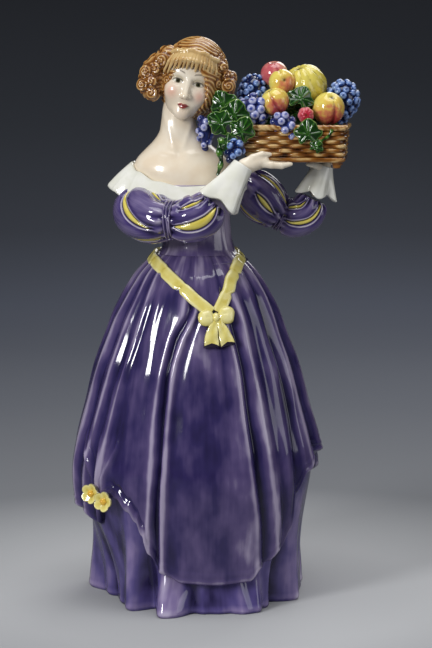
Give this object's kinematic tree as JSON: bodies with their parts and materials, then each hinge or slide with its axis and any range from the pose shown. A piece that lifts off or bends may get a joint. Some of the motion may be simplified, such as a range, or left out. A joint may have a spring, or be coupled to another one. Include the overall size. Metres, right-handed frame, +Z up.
{
  "type": "figurine",
  "caption": "Glazed ceramic figurine of a lady in a long draped dress who lifts a basket of fruit beside her head.",
  "frame": {"origin": "middle of the overall footprint, on the floor", "axes": "+Z up through the figure, the lady faces -Y, +X to the viewer's right"},
  "size_m": [0.1748, 0.133, 0.3397],
  "materials": {
    "under_violet_glaze": "clear gloss glaze over painted colour",
    "violet_glaze": "clear gloss glaze over painted colour",
    "flesh_glaze": "clear gloss glaze over painted colour",
    "hair_glaze": "clear gloss glaze over painted colour",
    "white_glaze": "clear gloss glaze over painted colour",
    "basket_glaze": "clear gloss glaze over painted colour",
    "yellow_glaze": "clear gloss glaze over painted colour",
    "peach_glaze": "clear gloss glaze over painted colour",
    "apple_glaze": "clear gloss glaze over painted colour",
    "grape_glaze": "clear gloss glaze over painted colour",
    "leaf_glaze": "clear gloss glaze over painted colour"
  },
  "bodies": {
    "root": {"underskirt": "under_violet_glaze", "bodice": "violet_glaze", "neck_and_shoulders": "flesh_glaze", "head": "flesh_glaze", "hair_crown": "hair_glaze", "hair_fringe": "hair_glaze", "right_side_curls": "hair_glaze", "left_side_curls": "hair_glaze", "collar": "white_glaze", "basket": "basket_glaze", "right_hand": "flesh_glaze", "left_hand": "flesh_glaze", "right_elbow_band": "violet_glaze", "left_elbow_band": "violet_glaze", "right_upper_sleeve": "violet_glaze", "left_upper_sleeve": "violet_glaze", "right_forearm_sleeve": "violet_glaze", "left_forearm_sleeve": "violet_glaze", "right_cuff": "white_glaze", "left_cuff": "white_glaze", "bow_knot": "yellow_glaze", "bow_right_loop": "yellow_glaze", "bow_left_loop": "yellow_glaze", "bow_right_tail": "yellow_glaze", "bow_left_tail": "yellow_glaze", "sash_right": "yellow_glaze", "sash_left": "yellow_glaze", "sash_back": "yellow_glaze", "melon": "yellow_glaze", "right_peach": "peach_glaze", "front_peach": "peach_glaze", "top_peach": "peach_glaze", "back_apple": "apple_glaze", "berry": "apple_glaze", "back_left_grapes": "grape_glaze", "front_left_grapes": "grape_glaze", "centre_grapes": "grape_glaze", "right_grapes": "grape_glaze", "neck_grapes": "grape_glaze", "hand_grapes": "grape_glaze", "top_leaf": "leaf_glaze", "front_leaf": "leaf_glaze", "small_front_leaf": "leaf_glaze", "rim_leaf": "leaf_glaze", "upper_trailing_leaf": "leaf_glaze", "middle_trailing_leaf": "leaf_glaze", "outer_trailing_leaf": "leaf_glaze", "lower_trailing_leaf": "leaf_glaze", "hanging_tendril": "leaf_glaze", "front_tendril": "leaf_glaze", "overskirt": "violet_glaze", "outer_skirt_flower": "yellow_glaze", "inner_skirt_flower": "yellow_glaze"}
  },
  "joints": []
}
